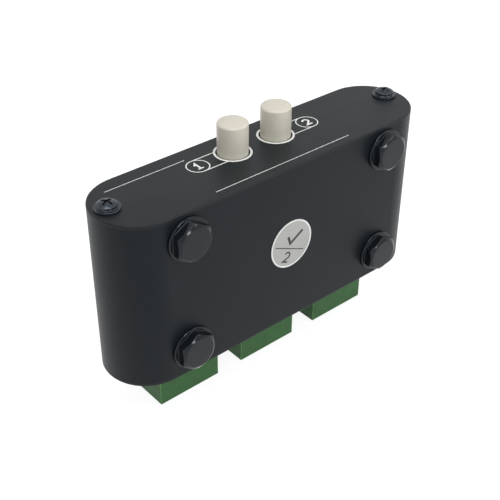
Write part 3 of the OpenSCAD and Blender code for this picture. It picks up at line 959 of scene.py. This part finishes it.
@dataclass
class LabelPrint:
    """Ink on the round inspection label: a pale rim, a dividing line, a tick and a plain number.

    Lengths are in millimetres from the label's middle, and the turn is in degrees.
    """

    rim: float = 0.45
    rim_inset: float = 0.05
    divider_drop: float = 1.5
    divider_half: float = 5.6
    divider_line: float = 0.28
    turn: float = -24.3
    tick: tuple[Point, ...] = ((-2.2, 1.848), (-0.528, 0.0), (2.42, 4.312))
    tick_line: float = 0.8
    number_height: float = 3.4
    number_line: float = 0.5
    number_drop: float = 0.9
    thick: float = 0.012

    def build(self) -> None:
        """Prints the label."""
        low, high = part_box("inspection_label")
        middle = (low + high) / 2
        upright = Matrix.Rotation(math.pi / 2, 4, "X") @ Matrix.Rotation(math.radians(self.turn), 4, "Z")
        place = Matrix.Translation((middle.x, low.y, middle.z)) @ upright
        outer = (high.x - low.x) / MM
        rim = Stencil("label_rim", place, thick=self.thick)
        rim.ring((0, 0), outer - 2 * self.rim_inset, self.rim)
        rim.finish(Look.RIM, "case")
        ink = Stencil("label_ink", place, thick=self.thick)
        v = -self.divider_drop
        ink.stroke([(-self.divider_half, v), (self.divider_half, v)], self.divider_line)
        ink.stroke(self.tick, self.tick_line)
        number_centre = (0.0, v - self.number_drop - self.number_height / 2)
        Numeral(self.number_height, self.number_line).draw(ink, 2, number_centre)
        ink.finish(Look.LABEL_INK, "case")


@dataclass
class TerminalBlock:
    """One socket with its plug, and the contacts, cages and screws in the plug."""

    dresser: Dresser
    number: int
    socket_edge: float = 0.1
    plug_edge: float = 0.22
    cage_edge: float = 0.06
    screw_edge: float = 0.08

    def build(self) -> None:
        """Dresses the block."""
        dress, i = self.dresser.dress, self.number
        dress(f"header_{i}", Look.SOCKET, edge=self.socket_edge)
        dress(f"plug_{i}", Look.TERMINAL, edge=self.plug_edge)
        dress(f"clamp_contacts_{i}", Look.TIN)
        dress(f"clamp_cages_{i}", Look.TIN, edge=self.cage_edge)
        dress(f"clamp_screws_{i}", Look.STEEL, edge=self.screw_edge)


@dataclass
class ReturnSpring:
    """The coil spring under a button's slider.

    Lengths are in millimetres.
    """

    letter: str
    travel: float
    wire: float = 0.5
    turns: int = 6
    turn_steps: int = 32
    wire_sides: int = 12

    def build(self) -> None:
        """Makes the spring in place of its stiff solid, standing on its lower seat."""
        node, name = f"return_spring_{self.letter}", f"coil_spring_{self.letter}"
        low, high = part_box(node)
        middle = (low + high) / 2
        foot = Vector((middle.x, middle.y, low.z))
        radius, length = (high.x - low.x) / MM / 2 - self.wire / 2, (high.z - low.z) / MM
        mesh = bmesh.new()
        self._add_coil(mesh, radius, length)
        mesh.transform(Matrix.Translation(foot) @ Matrix.Scale(MM, 4))
        piece = add_piece(name, mesh, Look.STEEL, "case")
        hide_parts(node)
        piece.data.shade_smooth()
        1 - self.travel / length
        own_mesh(piece)

    def _add_coil(self, mesh: bmesh.types.BMesh, radius: float, length: float) -> None:
        """Adds the coil.

        Args:
            mesh: what it is added to.
            radius: the radius of the wire's middle line.
            length: the spring's length over its wire.
        """
        steps, loops = self.turns * self.turn_steps, []
        for i in range(steps + 1):
            turn = Matrix.Rotation(FULL_TURN * i / self.turn_steps, 4, "Z")
            rise = self.wire / 2 + (length - self.wire) * i / steps
            section = arc((radius, rise), self.wire / 2, 0, 360, self.wire_sides)[:-1]
            loops.append([mesh.verts.new(turn @ Vector((r, 0, z))) for r, z in section])
        add_tube(mesh, loops)


@dataclass
class PushSwitch:
    """One latching push switch with its cap and its return spring.

    Lengths are in millimetres. The travel is how far the button goes down.
    """

    dresser: Dresser
    letter: str
    travel: float
    cover_edge: float = 0.15
    slider_edge: float = 0.1

    def build(self) -> None:
        """Dresses the switch, and makes its spring."""
        dress, k = self.dresser.dress, self.letter
        dress(f"switch_cover_{k}", Look.STEEL, edge=self.cover_edge)
        dress(f"switch_base_{k}", Look.LAMINATE)
        dress(f"switch_slider_{k}", Look.SLIDER, edge=self.slider_edge)
        dress(f"wiper_clips_{k}", Look.BRASS)
        dress(f"latch_wire_{k}", Look.STEEL)
        dress(f"button_cap_{k}", Look.CAP)
        ReturnSpring(k, self.travel).build()


@dataclass
class BoardAssembly:
    """The circuit board with the pins of its sockets and switches."""

    dresser: Dresser
    edge: float = 0.08

    def build(self) -> None:
        """Dresses the board."""
        self.dresser.dress("circuit_board", Look.BOARD, edge=self.edge)
        self.dresser.dress("header_pins", Look.TIN)
        self.dresser.dress("switch_terminals", Look.TIN)


# ---------------------------------------------------------------- studio


@dataclass(frozen=True)
class SoftLamp:
    """A square soft lamp, aimed at the switch. Places and sizes are in metres."""

    name: str
    place: tuple[float, float, float]
    size: float
    watts: float
    colour: Colour = (1.0, 1.0, 1.0)

    def hang(self, aim: Vector) -> None:
        """Makes the lamp.

        Args:
            aim: the point that it shines at.
        """
        data = bpy.data.lights.new(self.name, "AREA")
        data.shape, data.size, data.energy, data.color = "SQUARE", self.size, self.watts, self.colour
        lamp = bpy.data.objects.new(self.name, data)
        bpy.context.scene.collection.objects.link(lamp)
        lamp.location = self.place
        lamp.rotation_mode = "QUATERNION"
        lamp.rotation_quaternion = (aim - Vector(self.place)).to_track_quat("-Z", "Y")


@dataclass
class Studio:
    """The pale floor, the white room, the soft lamps and the camera.

    The camera's distance, aim, lens and sensor are in millimetres and its angles in degrees. The floor's
    half width and the camera's clipping range are in metres. floor_glow is the share of what is seen of the
    floor that is its own light, and floor_white and room_light are levels of light.
    """

    floor_half: float = 4.0
    floor_colour: Colour = (0.86, 0.86, 0.86)
    floor_glow: float = 0.6
    floor_white: float = 1.409
    room_light: float = 0.45
    azimuth: float = -40.68
    elevation: float = 34.76
    roll: float = 0.33
    lens: float = 69.67
    sensor: float = 36.0
    distance: float = 271.4
    aim: tuple[float, float, float] = (-3.92, 0.0, 35.04)
    clip: tuple[float, float] = (0.01, 100.0)
    lamps: tuple[SoftLamp, ...] = (
        SoftLamp("key", (-0.12, -0.06, 0.66), 0.34, 1.8),
        SoftLamp("left", (-0.54, -0.50, 0.22), 0.14, 0.25, (0.86, 0.95, 1.0)),
        SoftLamp("right", (0.42, -0.44, 0.52), 0.37, 1.35),
        SoftLamp("glint", (-0.02, -0.66, 0.29), 0.15, 1.25, (0.92, 0.97, 1.0)),
        SoftLamp("rim", (-0.40, 0.56, 0.34), 0.20, 0.4),
    )

    def build(self) -> None:
        """Makes the studio."""
        aim = Vector(self.aim) * MM
        self._camera(aim)
        self._room()
        self._floor()
        for lamp in self.lamps:
            lamp.hang(aim)
        bpy.context.scene.view_settings.view_transform = "Standard"
        log.info("studio with %d lamps", len(self.lamps))

    def _camera(self, aim: Vector) -> None:
        """Places the camera at the photograph's angle.

        Args:
            aim: the point at the middle of the picture.
        """
        data = bpy.data.cameras.new("camera")
        data.lens, data.sensor_width, data.sensor_fit = self.lens, self.sensor, "HORIZONTAL"
        data.clip_start, data.clip_end = self.clip
        camera = bpy.data.objects.new("camera", data)
        bpy.context.scene.collection.objects.link(camera)
        turn, rise, roll = (math.radians(a) for a in (self.azimuth, self.elevation, self.roll))
        level = math.cos(rise)
        back = Vector((math.sin(turn) * level, -math.cos(turn) * level, math.sin(rise)))
        across = Vector((0, 0, 1)).cross(back).normalized()
        up = back.cross(across)
        right = math.cos(roll) * across + math.sin(roll) * up
        top = math.cos(roll) * up - math.sin(roll) * across
        facing = Matrix((right, top, back)).transposed().to_4x4()
        camera.matrix_world = Matrix.Translation(aim + back * self.distance * MM) @ facing
        bpy.context.scene.camera = camera

    def _room(self) -> None:
        """Lights the room softly, and shows it white."""
        world = bpy.data.worlds.new("room")
        world.use_nodes = True
        graph = Graph(world.node_tree)
        seen = graph.seen()
        strength = seen + (1 - seen) * self.room_light
        light = graph.node("ShaderNodeBackground", {}, {"Color": WHITE, "Strength": strength})
        graph.node("ShaderNodeOutputWorld", {}, {"Surface": light})
        bpy.context.scene.world = world

    def _floor(self) -> None:
        """Lays the pale floor, which shows nearly white and keeps the shadow."""
        half = self.floor_half
        points = [(half * x, half * y, 0) for x, y in ((-1, -1), (1, -1), (1, 1), (-1, 1))]
        data = bpy.data.meshes.new("floor")
        data.from_pydata(points, [], [(0, 1, 2, 3)])
        floor = bpy.data.objects.new("floor", data)
        bpy.context.scene.collection.objects.link(floor)
        material = bpy.data.materials.new("floor_pale")
        material.use_nodes = True
        graph = Graph(material.node_tree)
        matt = graph.node("ShaderNodeBsdfDiffuse", {}, {"Color": (*self.floor_colour, 1.0)})
        glow = graph.node("ShaderNodeEmission", {}, {"Color": WHITE, "Strength": self.floor_white})
        share = graph.seen() * self.floor_glow
        mixed = graph.node("ShaderNodeMixShader", {}, {0: share, 1: matt, 2: glow})
        graph.node("ShaderNodeOutputMaterial", {}, {"Surface": mixed})
        data.materials.append(material)


# ---------------------------------------------------------------- the whole


def travel_of(frame: dict[str, Any], name: str) -> float:
    """How far a sliding joint goes, in millimetres."""
    span = next(joint["range_m"] for joint in frame["joints"] if joint["name"] == name)
    return abs(span[1] - span[0]) / MM


def main() -> None:
    """Builds the studio and dresses the switch, piece by piece."""
    logging.basicConfig(level=logging.INFO, format="%(name)s: %(message)s")
    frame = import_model()
    Studio().build()
    dresser = Dresser(frame)
    CaseShell(dresser).build()
    HexFeet().build()
    PanelPrint().build()
    LabelPrint().build()
    BoardAssembly(dresser).build()
    for number in (1, 2, 3):
        TerminalBlock(dresser, number).build()
    for letter in ("a", "b"):
        PushSwitch(dresser, letter, travel_of(frame, f"button_{letter}_press")).build()
    log.info("dressed %d of %d solids", dresser.dressed, len(frame["nodes"]))


if __name__ == "__main__":
    main()
